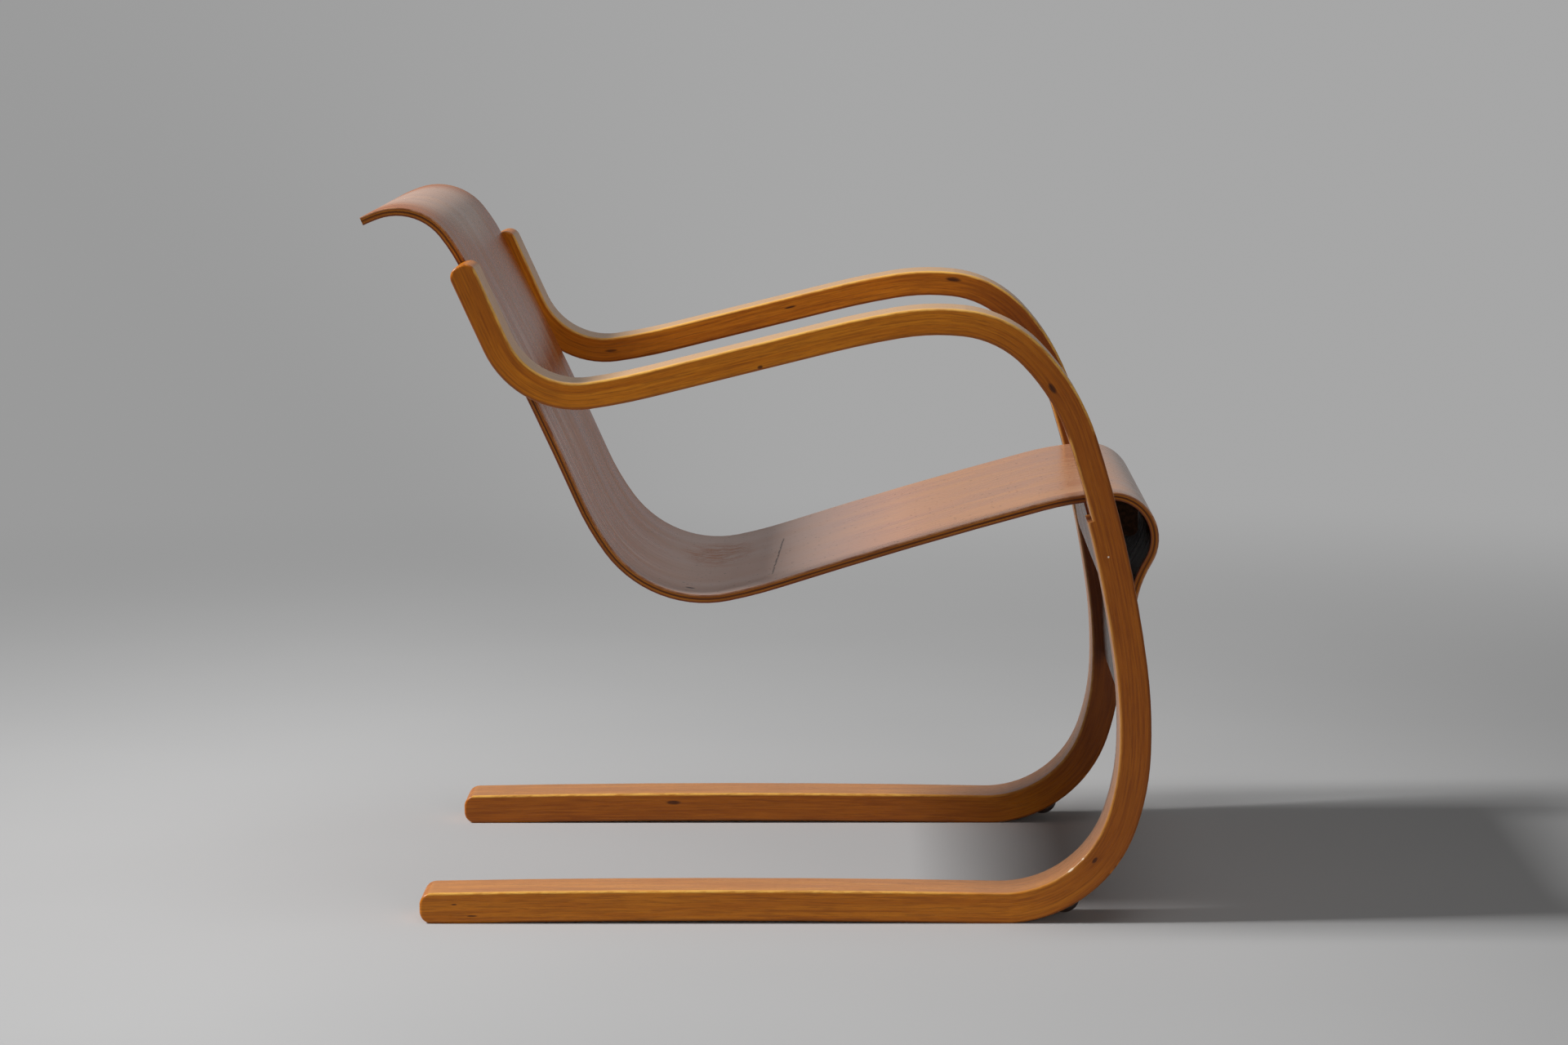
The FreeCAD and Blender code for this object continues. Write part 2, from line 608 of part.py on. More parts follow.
def on_outline(ply_number):
    """Test for the long edges of the seat sheet's own front or rear face on its two sides."""
    depth = 0 if ply_number == 0 else len(PLY_NAMES) * size("seat_ply")
    face_line = Part.Wire(seat_line.Shape.Edges)
    if depth:
        face_line = under_line.Shape

    def wanted(edge):
        if not PLY_EDGES(edge) or edge.Length < 2 * size("seat_ply"):
            return False
        middle = edge.valueAt((edge.FirstParameter + edge.LastParameter) / 2)
        flat = Part.Vertex(FreeCAD.Vector(middle.x, -SEAT_SIDE, middle.z))
        return face_line.distToShape(flat)[0] < 0.01
    return wanted


under_line = parallel("under_line", seat_line, f"-({SEAT_THICKNESS})")
seat_screws = group("seat_screws", [back_rail_screws, front_rail_screws])
for number, name in enumerate(PLY_NAMES):
    inner = f"-{number} * dims.seat_ply" if number else None
    ply = strip(name, seat_line, inner, "-dims.seat_ply", "dims.seat_width")
    if number in (0, len(PLY_NAMES) - 1):
        ply = rounded(f"{name}_rounded", ply, size("ply_arris_radius"), on_outline(number))
    if number:
        ply = combine("Cut", name, ply, seat_screws)
    nodes[name] = ply

nodes["front_rail_dowels"] = front_rail_dowels
nodes["front_rail_screws"] = front_rail_screws
nodes["back_rail_dowels"] = back_rail_dowels
nodes["back_rail_screws"] = back_rail_screws

doc.recompute()
for feature in doc.Objects:
    if "Invalid" in feature.State or "Error" in feature.State:
        raise RuntimeError(f"{feature.Label} did not compute: {feature.State}")
for name, feature in nodes.items():
    shape = feature.Shape
    if shape.isNull() or not shape.isValid() or not shape.Solids:
        raise RuntimeError(f"{name} has no valid shape")
    feature.Label = name

os.makedirs("parts", exist_ok=True)
for name, feature in nodes.items():
    feature.Shape.exportStep(f"parts/{name}.step")
    print(f"{name}: {len(feature.Shape.Solids)} solids, {feature.Shape.Volume:.0f} mm3")
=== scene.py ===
import math

import bmesh
import bpy
import numpy as np
from mathutils import Euler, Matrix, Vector

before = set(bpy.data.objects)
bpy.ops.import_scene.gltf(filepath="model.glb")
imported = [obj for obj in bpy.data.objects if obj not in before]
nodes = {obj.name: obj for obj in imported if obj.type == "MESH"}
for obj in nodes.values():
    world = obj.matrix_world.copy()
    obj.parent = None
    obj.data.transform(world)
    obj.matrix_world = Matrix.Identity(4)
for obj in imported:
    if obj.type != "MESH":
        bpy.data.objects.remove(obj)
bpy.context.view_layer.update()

# The view. The chair is seen from its right side, from a little above and from nearly five
# metres away, which keeps the two side frames almost the same size.
camera_data = bpy.data.cameras.new("view")
camera_data.sensor_width = 36.0
camera_data.lens = 110.625
camera_data.clip_end = 400.0
camera = bpy.data.objects.new("view", camera_data)
camera.location = (0.09008, -4.81217, 0.91848)
camera.rotation_euler = Euler([math.radians(a) for a in (83.25576, 0.19347, 0.82932)])
bpy.context.scene.collection.objects.link(camera)
bpy.context.scene.camera = camera


# The side frames. Each is a pack of long birch lamellae, glued over a form in one bend from
# the runner on the floor, up the leg, along the arm and into a short upright. The figure
# follows the bend, so every point gets its run, its place across and its depth into the pack.
def bow(radius, chord):
    """A long shallow bend given by the straight distance between its ends."""
    return radius, math.degrees(2 * math.asin(chord / 2 / abs(radius)))


def straight(length):
    return None, length


FRAME_START = (-0.3257, -0.0006, 1.13)
FRAME_STRETCHES = {
    "runner": bow(-14.0, 0.552),
    "toe": (0.135, 71.9),
    "ankle": (0.250, 17.0),
    "shin": (0.500, 9.73),
    "leg": bow(1.240, 0.223),
    "thigh": (0.220, 26.07),
    "shoulder": (0.118, 39.9),
    "crown": (0.240, 15.6),
    "easing": (0.880, 4.4),
    "arm": straight(0.175),
    "sway": (-0.560, 5.8),
    "elbow": (-0.070, 73.5),
    "upright": straight(0.0822),
}
LAMELLA = 0.0051
LEG_LAMELLA = 0.0045
FULL_LAMELLAE = 5
PACK = FULL_LAMELLAE * LAMELLA
LEG_LAMELLA_END = 1.027
FRAME_OUTER = 0.300
FRAME_INNER = 0.235


def unit(heading):
    return np.array([math.cos(heading), math.sin(heading)])


def runs_and_depths(points, start, stretches):
    """Run along a bent line, and depth to its left, of side-view points in metres."""
    best = np.full(len(points), np.inf)
    runs = np.zeros(len(points))
    depths = np.zeros(len(points))
    here, heading, gone = np.array(start[:2]), math.radians(start[2]), 0.0
    for radius, amount in stretches.values():
        ahead, left = unit(heading), unit(heading + math.pi / 2)
        if radius is None:
            length = amount
            run = (points - here) @ ahead
            depth = (points - here) @ left
            here = here + ahead * length
        else:
            way = math.copysign(1, radius)
            length = abs(radius) * math.radians(amount)
            centre = here + left * radius
            spoke = points - centre
            across = spoke @ ahead
            outward = spoke @ (left * -way)
            run = np.arctan2(across, outward) * abs(radius)
            depth = radius - way * np.hypot(across, outward)
            heading += way * math.radians(amount)
            here = centre - unit(heading + math.pi / 2) * radius
        miss = np.maximum(np.maximum(-run, run - length), 0) + np.abs(depth) * 0.1
        nearer = miss < best
        best = np.where(nearer, miss, best)
        runs = np.where(nearer, gone + run, runs)
        depths = np.where(nearer, depth, depths)
        gone += length
    return runs, depths


def lay_grain(piece, start, stretches):
    """Give a bent piece its figure's coordinates: run, place across the chair, depth."""
    mesh = piece.data
    points = np.empty(len(mesh.vertices) * 3)
    mesh.vertices.foreach_get("co", points)
    points = points.reshape(-1, 3)
    run, depth = runs_and_depths(points[:, [0, 2]], start, stretches)
    grain = mesh.attributes.new("grain", "FLOAT_VECTOR", "POINT")
    grain.data.foreach_set("vector", np.column_stack([run, points[:, 1], depth]).ravel())


class Finish:
    """The node tree of a material or of the world, put together from left to right."""

    def __init__(self, owner):
        self.owner = owner
        owner.use_nodes = True
        self.tree = owner.node_tree
        self.tree.nodes.clear()

    def add(self, kind, settings=None, **sockets):
        """A node with its settings and sockets. A socket is a value or another output."""
        node = self.tree.nodes.new(f"ShaderNode{kind}")
        for name, value in (settings or {}).items():
            setattr(node, name, value)
        for name, value in sockets.items():
            self.feed(node.inputs[name.replace("_", " ")], value)
        return node

    def feed(self, socket, value):
        if isinstance(value, bpy.types.NodeSocket):
            self.tree.links.new(value, socket)
        else:
            socket.default_value = value

    def grain(self):
        """Where a point of a bent piece lies in its figure."""
        return self.add("Attribute", {"attribute_name": "grain"}).outputs["Vector"]

    def place(self):
        """Where a point lies in the chair, in metres."""
        return self.add("TexCoord").outputs["Object"]

    def parts(self, vector):
        """The three numbers of a vector."""
        return self.add("SeparateXYZ", Vector=vector).outputs

    def stretched(self, vector, x, y, z, shift=(0, 0, 0)):
        """A vector scaled along each axis, which stretches a pattern."""
        return self.add("Mapping", Vector=vector, Scale=(x, y, z), Location=shift).outputs[0]

    def noise(self, vector, scale=1.0, detail=3.0, rough=0.55, twist=0.0):
        node = self.add("TexNoise", Vector=vector, Scale=scale, Detail=detail,
                        Roughness=rough, Distortion=twist)
        return node.outputs[0]

    def number(self, operation, *values, clamp=False):
        """Result of a sum, product or other operation on one to three numbers."""
        node = self.add("Math", {"operation": operation, "use_clamp": clamp})
        for socket, value in zip(node.inputs, values):
            self.feed(socket, value)
        return node.outputs[0]

    def product(self, first, *others):
        """Several numbers multiplied together."""
        for other in others:
            first = self.number("MULTIPLY", first, other)
        return first

    def between(self, value, low, high, to_low=0.0, to_high=1.0):
        """A number moved smoothly from one range to another."""
        node = self.add("MapRange", {"interpolation_type": "SMOOTHSTEP"}, Value=value)
        for socket, edge in zip(node.inputs[1:5], (low, high, to_low, to_high)):
            self.feed(socket, edge)
        return node.outputs[0]

    def along(self, run, rise, top, fall, end):
        """1 on a stretch of the run, faded in before it and out after it."""
        return self.product(self.between(run, rise, top), self.between(run, fall, end, 1.0, 0.0))

    def spot(self, vector, place, reach):
        """A mark of 1 at a place that fades to 0 over its reach along each axis."""
        near = self.add("Mapping", {"vector_type": "TEXTURE"}, Vector=vector,
                        Location=place, Scale=reach).outputs[0]
        far_off = self.add("VectorMath", {"operation": "LENGTH"}, Vector=near).outputs[1]
        return self.between(far_off, 0.45, 1.0, 1.0, 0.0)

    def mix(self, share, first, second):
        """One colour laid over another by a share."""
        node = self.add("Mix", {"data_type": "RGBA"})
        for socket, value in ((0, share), (6, first), (7, second)):
            if isinstance(value, tuple):
                value = (*value, 1.0)
            self.feed(node.inputs[socket], value)
        return node.outputs[2]

    def surface(self, colour, roughness, bump, depth, **sockets):
        """The finished surface: its colour, gloss and relief."""
        relief = self.add("Bump", Height=bump, Strength=1.0, Distance=depth).outputs[0]
        shader = self.add("BsdfPrincipled", Base_Color=colour, Roughness=roughness,
                          Normal=relief, **sockets)
        self.feed(self.add("OutputMaterial").inputs[0], shader.outputs[0])
        return self.owner


def dress(names, material):
    """Put one material on some of the model's nodes."""
    for name in names:
        piece = nodes[name]
        piece.data.materials.clear()
        piece.data.materials.append(material)


# Birch under clear lacquer that has aged to honey amber. The sawn sides show fine lengthwise
# streaks and short dark fibres, a few knots, and paler wood where the arrises are worn, that
# pale partly a painted highlight.
HONEY = (0.71, 0.240, 0.012)
AMBER = (0.53, 0.150, 0.005)
RUSSET = (0.33, 0.085, 0.006)
DARK_STREAK = (0.170, 0.040, 0.004)
AGED_SHADE_STREAK = (0.230, 0.052, 0.004)
PALE_WEAR_HIGHLIGHT = (0.88, 0.50, 0.11)
HANDLED = (0.74, 0.47, 0.25)
KNOT = (0.050, 0.012, 0.003)
CHIP = (0.85, 0.72, 0.58)
GLUE_LINE = 0.00004
# Each mark's run, place across and depth, and its reach along each of them.
KNOTS = [
    ((1.1666, -0.300, 0.0175), (0.0080, 0.012, 0.0032)),
    ((1.4883, -0.300, 0.0225), (0.0034, 0.008, 0.0022)),
    ((0.6731, -0.300, 0.0202), (0.0055, 0.008, 0.0022)),
    ((0.0501, -0.300, 0.0072), (0.0065, 0.006, 0.0010)),
    ((0.0333, -0.300, 0.0186), (0.0036, 0.006, 0.0009)),
    ((1.2859, 0.235, 0.0076), (0.0110, 0.012, 0.0028)),
    ((0.2226, 0.235, 0.0200), (0.0100, 0.012, 0.0028)),
    ((1.4635, 0.235, 0.0107), (0.0080, 0.008, 0.0014)),
    ((1.6553, 0.235, 0.0136), (0.0070, 0.008, 0.0018)),
]
CHIPS = [
    ((0.9905, -0.300, 0.0187), (0.0012, 0.003, 0.0012)),
    ((0.6450, -0.300, 0.0294), (0.0060, 0.004, 0.0014)),
    ((0.6650, -0.300, 0.0296), (0.0025, 0.004, 0.0012)),
]


def birch_finish():
    f = Finish(bpy.data.materials.new("lacquered_birch"))
    grain = f.grain()
    run, across, depth = f.parts(grain)

    # The broad figure differs from lamella to lamella and from frame to frame.
    layer = f.number("FLOOR", f.number("DIVIDE", depth, LAMELLA))
    apart = f.add("CombineXYZ", X=f.product(layer, 7.3), Y=f.number("SIGN", across)).outputs[0]
    own = f.add("VectorMath", {"operation": "ADD"})
    f.feed(own.inputs[0], grain)
    f.feed(own.inputs[1], apart)
    broad = f.noise(f.stretched(own.outputs[0], 6, 60, 170), detail=4.0, twist=0.5)
    ripple = f.noise(f.stretched(grain, 20, 420, 520), detail=4.0, rough=0.6, twist=0.4)
    fine = f.noise(f.stretched(grain, 55, 900, 1300), detail=3.0, rough=0.6)
    fibres = f.noise(f.stretched(grain, 110, 1000, 1500, (3, 1, 2)), detail=2.0)
    cloud = f.noise(f.stretched(grain, 14, 30, 60, (5, 5, 5)), detail=3.0)
    colour = f.mix(f.between(broad, 0.30, 0.70), AMBER, HONEY)
    colour = f.mix(f.between(ripple, 0.45, 0.66, 0.0, 0.42), colour, DARK_STREAK)
    colour = f.mix(f.between(fine, 0.50, 0.68, 0.0, 0.42), colour, DARK_STREAK)
    colour = f.mix(f.between(fibres, 0.66, 0.76, 0.0, 0.60), colour, DARK_STREAK)
    colour = f.mix(f.between(cloud, 0.50, 0.74, 0.0, 0.30), colour, RUSSET)
    tone = f.add("TexWhiteNoise", {"noise_dimensions": "2D"}, Vector=apart).outputs[0]
    colour = f.mix(f.product(tone, 0.10), colour, RUSSET)

    # How near a point is to the sides of the frame and to its faces.
    width = f.number("ABSOLUTE", across)
    to_side = f.number("MINIMUM", f.number("SUBTRACT", FRAME_OUTER, width),
                       f.number("SUBTRACT", width, FRAME_INNER))
    thick = f.number("MULTIPLY_ADD", f.number("LESS_THAN", run, LEG_LAMELLA_END),
                     LEG_LAMELLA, PACK)
    to_back = f.number("SUBTRACT", thick, depth)
    to_face = f.number("MINIMUM", depth, to_back)

    # The sawn sides of the legs, the right upright and the left runner have aged to a redder
    # brown, and this darker brown is partly a painted shade where these sides get little light.
    # The left leg is darker still, a painted shade.
    on_side = f.between(to_side, 0.0002, 0.0016, 1.0, 0.0)
    left = f.number("GREATER_THAN", across, 0.0)
    leg = f.product(f.along(run, 0.52, 0.72, 1.14, 1.36), f.between(left, 0.0, 1.0, 0.80, 1.0))
    upright = f.product(f.between(run, 1.64, 1.80, 0.0, 0.55),
                        f.between(left, 0.0, 1.0, 1.0, 0.0))
    runner = f.product(f.between(run, 0.50, 0.70, 1.0, 0.0),
                       f.between(left, 0.0, 1.0, 0.20, 0.75))
    aged_and_shaded = f.number("MAXIMUM", f.number("MAXIMUM", leg, upright), runner)
    aged_and_shade_brown = f.mix(f.between(ripple, 0.35, 0.65), RUSSET, AGED_SHADE_STREAK)
    colour = f.mix(f.product(aged_and_shaded, on_side), colour, aged_and_shade_brown)
    # Painted shade: the inner side of the left leg is darkened further.
    colour = f.mix(f.product(leg, left, on_side, 0.40), colour, KNOT)

    # A fine glue line shows here and there where two lamellae meet.
    share = f.number("FRACT", f.number("DIVIDE", f.number("ADD", depth, GLUE_LINE), LAMELLA))
    line = f.product(f.between(share, 0.03, 0.05, 1.0, 0.0),
                     f.between(cloud, 0.40, 0.60, 0.05, 0.40))
    colour = f.mix(line, colour, DARK_STREAK)

    ragged = f.between(fine, 0.35, 0.60, 0.70, 1.0)
    for place, reach in KNOTS:
        colour = f.mix(f.product(f.spot(grain, place, reach), ragged), colour, KNOT)
    for place, reach in CHIPS:
        colour = f.mix(f.spot(grain, place, reach), colour, CHIP)

    # The upper face is the last lamella on the runner and the leg and the first on the arm.
    # On the arm it is bleached by hands.
    from_top = f.add("Mix", Factor=f.between(run, 1.06, 1.16), A=to_back, B=depth).outputs[0]
    on_top = f.between(from_top, 0.0002, 0.0014, 1.0, 0.0)
    handled = f.product(on_top, f.between(run, 1.12, 1.28, 0.20, 0.80))
    colour = f.mix(handled, colour, HANDLED)

    # Worn arrises: near a corner of the section, both the side and the face are close. The upper
    # arrises of the arm and the runner's tip are rubbed most, and their pale is partly a painted
    # highlight. The lower ones keep a dark line, which is a painted shade.
    corner = f.between(f.number("ADD", to_side, to_face), 0.0014, 0.0030, 1.0, 0.0)
    upper_half = f.between(from_top, 0.010, 0.016, 1.0, 0.0)
    rubbed = f.noise(f.stretched(grain, 60, 300, 300, (1, 7, 1)), detail=4.0, rough=0.7)
    kept = f.along(run, 0.42, 0.56, 1.02, 1.20)
    wear_and_highlight = f.product(corner, f.between(rubbed, 0.34, 0.62, 0.30, 0.90), upper_half,
                     f.between(kept, 0.0, 1.0, 1.0, 0.30))
    colour = f.mix(wear_and_highlight, colour, PALE_WEAR_HIGHLIGHT)
    # Painted shade: a dark line along the lower arrises.
    lower_arris_shade = f.number("MULTIPLY", corner, f.number("SUBTRACT", 0.65, upper_half), clamp=True)
    colour = f.mix(lower_arris_shade, colour, DARK_STREAK)

    gloss = f.between(f.number("ADD", fine, f.product(cloud, 0.5)), 0.5, 1.1, 0.26, 0.38)
    relief = f.number("ADD", fine, f.product(fibres, 0.5))
    return f.surface(colour, gloss, relief, depth=0.00002, Specular_IOR_Level=0.28)


FRAME_NODES = [name for name in nodes if "lamella" in name]
for name in FRAME_NODES:
    lay_grain(nodes[name], FRAME_START, FRAME_STRETCHES)
dress(FRAME_NODES, birch_finish())


# The seat. One sheet of five plies, pressed to shape, with its figure running from the head
# to the front. The face veneers are a darker red-brown, polished and scuffed by use.
SEAT_START = (-0.3807, 0.6696, 25.1)
SEAT_STRETCHES = {
    "lip": (-0.180, 5.0),
    "head": (-0.060, 71.6),
    "neck": (-0.180, 10.8),
    "back": bow(-3.600, 0.254),
    "lumbar": (0.250, 12.4),
    "hollow": (0.110, 65.3),
    "rise": (0.480, 6.2),
    "pan": bow(-6.000, 0.261),
    "front": (-0.300, 12.7),
    "roll": (-0.045, 123.8),
    "throat": (0.110, 30.0),
    "tongue": bow(0.900, 0.101),
}
SEAT_SIDE = FRAME_INNER
RED_BROWN = (0.420, 0.100, 0.024)
WARM_BROWN = (0.500, 0.180, 0.048)
FADED_BROWN = (0.560, 0.340, 0.215)
DEEP_BROWN = (0.110, 0.030, 0.010)
DULL_SHEEN_BROWN = (0.620, 0.450, 0.380)
BLEACHED = (0.86, 0.66, 0.56)
SCUFF = (0.500, 0.180, 0.065)
EDGE_RED = (0.170, 0.038, 0.008)
EDGE_PALE_HIGHLIGHT = (0.60, 0.30, 0.15)
# Run, place across and depth of the worn places, and their reach along each of them.
HEAD_REST = ((0.055, 0.013, 0.0), (0.080, 0.230, 0.010))
SCUFFED_PATCH = ((0.541, 0.074, 0.0), (0.045, 0.120, 0.010))
NICK = ((0.5207, -0.1905, 0.0), (0.006, 0.006, 0.006))
CRACK_RUN = 0.6052
CRACK_SLANT = 0.029
CRACK_WANDER = 0.0030


def veneer_finish():
    f = Finish(bpy.data.materials.new("face_veneer"))
    grain = f.grain()
    run, across, depth = f.parts(grain)
    below = f.number("ABSOLUTE", depth)
    on_face = f.between(below, 0.0010, 0.0030, 1.0, 0.0)
    on_underside = f.between(below, 0.0070, 0.0079)
    broad = f.noise(f.stretched(grain, 4.5, 20, 20), detail=5.0, twist=0.6)
    figure = f.noise(f.stretched(grain, 9.0, 170, 90), detail=4.0, rough=0.6, twist=0.3)
    fine = f.noise(f.stretched(grain, 40, 1000, 900), detail=2.0)
    pores = f.noise(f.stretched(grain, 90, 900, 500, (2, 2, 2)), detail=1.0)
    colour = f.mix(f.between(broad, 0.32, 0.70), RED_BROWN, WARM_BROWN)
    colour = f.mix(f.between(figure, 0.45, 0.75, 0.0, 0.50), colour, DEEP_BROWN)
    colour = f.mix(f.between(fine, 0.52, 0.75, 0.0, 0.35), colour, DEEP_BROWN)
    colour = f.mix(f.between(pores, 0.70, 0.80, 0.0, 0.35), colour, DEEP_BROWN)

    # The front of the seat and the top of the head have faded to a paler tone, and the head
    # and the outside of the roll have gone dull, their pale grey partly a painted sheen.
    head = f.spot(grain, *HEAD_REST)
    faded = f.number("MAXIMUM", f.between(run, 0.62, 0.80), head)
    colour = f.mix(f.product(faded, 0.55), colour, FADED_BROWN)
    on_roll = f.product(f.along(run, 0.93, 0.98, 1.02, 1.07), on_face)
    dulled_and_sheen = f.number("MAXIMUM", f.product(on_roll, 0.85), f.product(head, 0.55))
    colour = f.mix(dulled_and_sheen, colour, DULL_SHEEN_BROWN)

    # In the hollow, where the sitter's weight rests, the finish has gone dull and grey, and this
    # pale grey is partly a painted reflection and painted light where the backrest shades it.
    hollow = f.product(f.along(run, 0.42, 0.54, 0.60, 0.80), on_face)
    colour = f.mix(f.product(hollow, 0.90), colour, DULL_SHEEN_BROWN)

    # Pale lengthwise streaks on the right half of the backrest, where the finish is rubbed.
    streaks = f.noise(f.stretched(grain, 2.6, 100, 20, (9, 4, 0)), detail=3.0, rough=0.6)
    on_back = f.product(f.along(run, 0.12, 0.24, 0.42, 0.56),
                        f.between(across, -0.14, 0.12, 1.0, 0.2))
    rubbed = f.product(f.between(streaks, 0.50, 0.62), on_back, on_face)
    colour = f.mix(f.product(rubbed, 0.50), colour, BLEACHED)

    # A worn patch of lengthwise scuffs in the hollow.
    scuffs = f.noise(f.stretched(grain, 42, 150, 60, (6, 1, 0)), detail=4.0, rough=0.65)
    scuffed = f.product(f.spot(grain, *SCUFFED_PATCH), f.between(scuffs, 0.48, 0.53))
    colour = f.mix(f.product(scuffed, 0.95), colour, SCUFF)

    # A crack across the hollow, broken here and there, a nick and some dark specks.
    wander = f.noise(f.stretched(grain, 20, 45, 1, (0, 3, 0)), detail=3.0)
    bend = f.number("MULTIPLY_ADD", across, CRACK_SLANT, CRACK_RUN)
    bend = f.number("MULTIPLY_ADD", wander, CRACK_WANDER, bend)
    aside = f.number("ABSOLUTE", f.number("SUBTRACT", run, bend))
    crack = f.product(f.between(aside, 0.0004, 0.0013, 1.0, 0.0),
                      f.along(across, -0.185, -0.165, 0.075, 0.100),
                      f.between(scuffs, 0.40, 0.50, 0.2, 0.9))
    specks = f.noise(f.stretched(grain, 260, 260, 260, (3, 8, 5)), detail=0.0)
    marks = f.number("MAXIMUM", crack, f.between(specks, 0.785, 0.81, 0.0, 0.85))
    marks = f.product(f.number("MAXIMUM", marks, f.spot(grain, *NICK)), on_face)
    colour = f.mix(marks, colour, KNOT)

    # The underside is deeper in tone, and the inside of the roll is painted nearly black, a
    # painted shade.
    colour = f.mix(f.product(on_underside, 0.6), colour, DEEP_BROWN)
    roll_shade = f.product(on_underside, f.between(run, 0.95, 1.02))
    colour = f.mix(f.product(roll_shade, 0.8), colour, KNOT)

    # From the side, the outer plies show a dark red edge under an arris worn pale, the pale
    # partly a painted highlight.
    to_side = f.number("SUBTRACT", SEAT_SIDE, f.number("ABSOLUTE", across))
    colour = f.mix(f.between(to_side, 0.0001, 0.0007, 0.9, 0.0), colour, EDGE_RED)
    arris = f.between(f.number("ADD", to_side, below), 0.0006, 0.0022, 1.0, 0.0)
    nibbled = f.noise(f.stretched(grain, 55, 200, 200, (4, 4, 4)), detail=4.0, rough=0.7)
    colour = f.mix(f.product(arris, f.between(nibbled, 0.38, 0.60, 0.15, 0.8)), colour, EDGE_PALE_HIGHLIGHT)

    gloss = f.between(f.number("ADD", broad, f.product(pores, 0.4)), 0.5, 1.0, 0.22, 0.36)
    gloss = f.number("MULTIPLY_ADD", hollow, 0.08, gloss)
    relief = f.number("SUBTRACT", f.product(fine, 0.6), pores)
    relief = f.number("SUBTRACT", relief, f.product(marks, 40.0))
    relief = f.number("SUBTRACT", relief, f.product(scuffed, 42.0))
    return f.surface(colour, gloss, relief, depth=0.000012, Specular_IOR_Level=0.35)


SEAT_PLIES = ["seat_face_ply", "seat_upper_ply", "seat_centre_ply", "seat_lower_ply",
              "seat_under_ply"]
for name in SEAT_PLIES:
    lay_grain(nodes[name], SEAT_START, SEAT_STRETCHES)
dress(["seat_face_ply", "seat_under_ply"], veneer_finish())


# The seat's inner plies show only as bands on the cut edge. The core plies run lengthwise and
# are cut along their fibres. The centre ply is laid crosswise and shows darker end grain.
CORE_PLY = (0.46, 0.160, 0.014)
CORE_PLY_DARK = (0.25, 0.070, 0.006)
CROSS_PLY = (0.15, 0.040, 0.005)
CROSS_PLY_DARK = (0.07, 0.018, 0.003)


def ply_edge_finish(name, light, dark):
    f = Finish(bpy.data.materials.new(name))
    grain = f.grain()
    streaks = f.noise(f.stretched(grain, 18, 900, 2400), detail=3.0)
    cells = f.noise(f.stretched(grain, 300, 900, 2400, (1, 1, 1)), detail=2.0)
    colour = f.mix(f.between(streaks, 0.35, 0.68), dark, light)
    colour = f.mix(f.between(cells, 0.56, 0.75, 0.0, 0.5), colour, dark)
    return f.surface(colour, f.between(cells, 0.3, 0.7, 0.36, 0.52), cells, depth=0.00004,
                     Specular_IOR_Level=0.28)


dress(["seat_upper_ply", "seat_lower_ply"],
      ply_edge_finish("core_veneer", CORE_PLY, CORE_PLY_DARK))
dress(["seat_centre_ply"], ply_edge_finish("cross_veneer", CROSS_PLY, CROSS_PLY_DARK))


# The brace, a short bent sheet of the same plywood behind the front rail. It goes from the
# seat's underside down to the tongue and closes the roll at the back.
BRACE_START = (0.3118, 0.412, -72.0)
BRACE_STRETCHES = {
    "upper": (-0.535, 9.0),
    "bend": (0.060, 19.0),
    "lower": straight(0.060),
}
lay_grain(nodes["rear_brace"], BRACE_START, BRACE_STRETCHES)
dress(["rear_brace"], nodes["seat_under_ply"].data.materials[0])


# The two rails. The front one is a solid bar inside the roll, the back one a thin strip behind
# the backrest. Both are painted near black, a painted shade, and run across the chair from
# frame to frame.
RAIL_SHADE_BLACK = (0.008, 0.004, 0.002)
RAIL_SHADE_STREAK = (0.022, 0.010, 0.005)
RAIL_SHADE_PORE = (0.004, 0.002, 0.001)


def shaded_rail_finish():
    f = Finish(bpy.data.materials.new("rail_wood"))
    place = f.place()
    streaks = f.noise(f.stretched(place, 260, 6, 260), detail=4.0)
    pores = f.noise(f.stretched(place, 900, 60, 900), detail=2.0)
    colour = f.mix(f.between(streaks, 0.35, 0.70), RAIL_SHADE_BLACK, RAIL_SHADE_STREAK)
    colour = f.mix(f.between(pores, 0.6, 0.75, 0.0, 0.6), colour, RAIL_SHADE_PORE)
    return f.surface(colour, f.between(pores, 0.3, 0.7, 0.75, 0.9), pores, depth=0.00008,
                     Specular_IOR_Level=0.05)


dress(["front_rail", "back_rail"], shaded_rail_finish())


# The dowels. They are turned from beech and glued into the ends of both rails and into the
# frames, so nothing of them shows once the chair is together.
BEECH = (0.62, 0.42, 0.24)
BEECH_FLECK = (0.44, 0.26, 0.13)


def dowel_finish():
    f = Finish(bpy.data.materials.new("dowel_beech"))
    flecks = f.noise(f.stretched(f.place(), 900, 90, 900), detail=3.0)
    colour = f.mix(f.between(flecks, 0.35, 0.70), BEECH, BEECH_FLECK)
    return f.surface(colour, f.between(flecks, 0.3, 0.7, 0.5, 0.65), flecks, depth=0.00005)


dress(["front_rail_dowels", "back_rail_dowels"], dowel_finish())


# The countersunk screws that hold the seat to the rails, and the nails of the glides. They
# are plain steel that has gone dull in places.
STEEL = (0.42, 0.41, 0.40)
DULL_STEEL = (0.22, 0.20, 0.18)


def steel_finish():
    f = Finish(bpy.data.materials.new("screw_steel"))
    place = f.place()
    turned = f.noise(f.stretched(place, 1500, 1500, 1500), detail=2.0)
    dull = f.noise(f.stretched(place, 180, 180, 180), detail=3.0)
    colour = f.mix(f.between(dull, 0.40, 0.70), STEEL, DULL_STEEL)
    return f.surface(colour, f.between(dull, 0.3, 0.7, 0.30, 0.50), turned, depth=0.00002,
                     Metallic=0.9)


